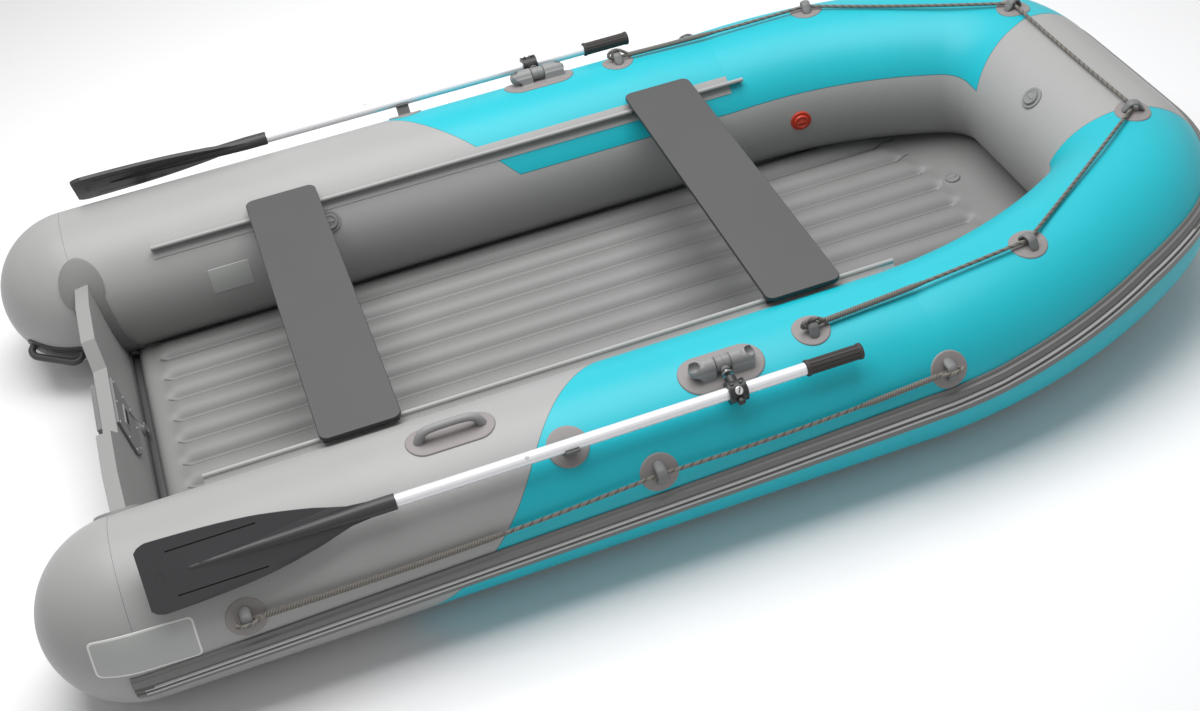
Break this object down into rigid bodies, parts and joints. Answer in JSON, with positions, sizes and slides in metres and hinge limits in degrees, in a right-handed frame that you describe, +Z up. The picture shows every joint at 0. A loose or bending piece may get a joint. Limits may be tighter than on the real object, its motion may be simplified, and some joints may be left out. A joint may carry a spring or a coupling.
{
  "type": "inflatable rowing boat",
  "caption": "Inflatable rowing boat with blunt bow, ribbed air floor, transom board, two sliding bench seats, grab lines and a pair of oars on rolling oarlocks.",
  "frame": {"origin": "on the ground under the middle of the hull", "axes": "+X to the bow, +Y to port, +Z up"},
  "size_m": [3.0829, 1.6866, 0.4855],
  "materials": {
    "hull_grey": "satin coated fabric",
    "hull_turquoise": "satin coated fabric",
    "floor_grey": "satin coated fabric",
    "board_paint": "painted board",
    "plate_plastic": "moulded",
    "fitting_grey": "moulded",
    "valve_plastic": "moulded",
    "valve_red": "moulded",
    "rub_rail_pvc": "ribbed strip",
    "handle_dark": "moulded",
    "rope": "twisted line",
    "seat_dark": "satin board",
    "slider_plastic": "extruded",
    "barrel_plastic": "moulded",
    "oar_plastic": "moulded",
    "grip_rubber": "ribbed",
    "oar_alloy": "painted tube"
  },
  "bodies": {
    "hull": {"side_tube_port": "hull_grey", "side_tube_starboard": "hull_grey", "shoulder_tube_port": "hull_turquoise", "shoulder_tube_starboard": "hull_turquoise", "bow_tube": "hull_grey", "floor_panel": "floor_grey", "transom_board": "board_paint", "motor_plate_inner": "plate_plastic", "motor_plate_outer": "plate_plastic", "drain_valve": "valve_plastic", "transom_holder_port": "fitting_grey", "transom_holder_starboard": "fitting_grey", "rub_rail": "rub_rail_pvc", "seat_rail_port": "fitting_grey", "seat_rail_starboard": "fitting_grey", "oarlock_base_port": "fitting_grey", "oarlock_base_starboard": "fitting_grey", "oar_cradle_port": "fitting_grey", "oar_cradle_starboard": "fitting_grey", "bow_line_eyes": "fitting_grey", "side_line_eyes": "fitting_grey", "bow_line": "rope", "side_line_port": "rope", "side_line_starboard": "rope", "air_valves": "valve_plastic", "relief_valve": "valve_red", "floor_valve": "valve_plastic", "carry_handle": "fitting_grey", "stern_handles": "handle_dark"},
    "aft_seat": {"seat_aft": "seat_dark", "seat_aft_sliders": "slider_plastic"},
    "forward_seat": {"seat_forward": "seat_dark", "seat_forward_sliders": "slider_plastic"},
    "port_barrel": {"oarlock_barrel_port": "barrel_plastic"},
    "port_oar": {"oar_collar_port": "oar_plastic", "oar_shaft_port": "oar_alloy", "oar_grip_port": "grip_rubber", "oar_blade_port": "oar_plastic"},
    "starboard_barrel": {"oarlock_barrel_starboard": "barrel_plastic"},
    "starboard_oar": {"oar_collar_starboard": "oar_plastic", "oar_shaft_starboard": "oar_alloy", "oar_grip_starboard": "grip_rubber", "oar_blade_starboard": "oar_plastic"}
  },
  "joints": [
    {"name": "aft_seat_slide", "type": "slide", "parent": "hull", "child": "aft_seat", "axis": [1, 0, 0], "range_m": [-0.25, 0.4]},
    {"name": "forward_seat_slide", "type": "slide", "parent": "hull", "child": "forward_seat", "axis": [1, 0, 0], "range_m": [-0.44, 0.135]},
    {"name": "port_oarlock_roll", "type": "hinge", "parent": "hull", "child": "port_barrel", "pos_m": [0.032, 0.68367, 0.42905], "axis": [1, 0, 0], "range_deg": [0, 100]},
    {"name": "port_oar_swing", "type": "hinge", "parent": "port_barrel", "child": "port_oar", "pos_m": [0.032, 0.76606, 0.41101], "axis": [0, 0.9768, -0.214], "range_deg": [0, 4]},
    {"name": "starboard_oarlock_roll", "type": "hinge", "parent": "hull", "child": "starboard_barrel", "pos_m": [0.032, -0.68367, 0.42905], "axis": [-1, 0, 0], "range_deg": [0, 100]},
    {"name": "starboard_oar_swing", "type": "hinge", "parent": "starboard_barrel", "child": "starboard_oar", "pos_m": [0.032, -0.76606, 0.41101], "axis": [0, 0.9768, 0.214], "range_deg": [0, 4]}
  ]
}
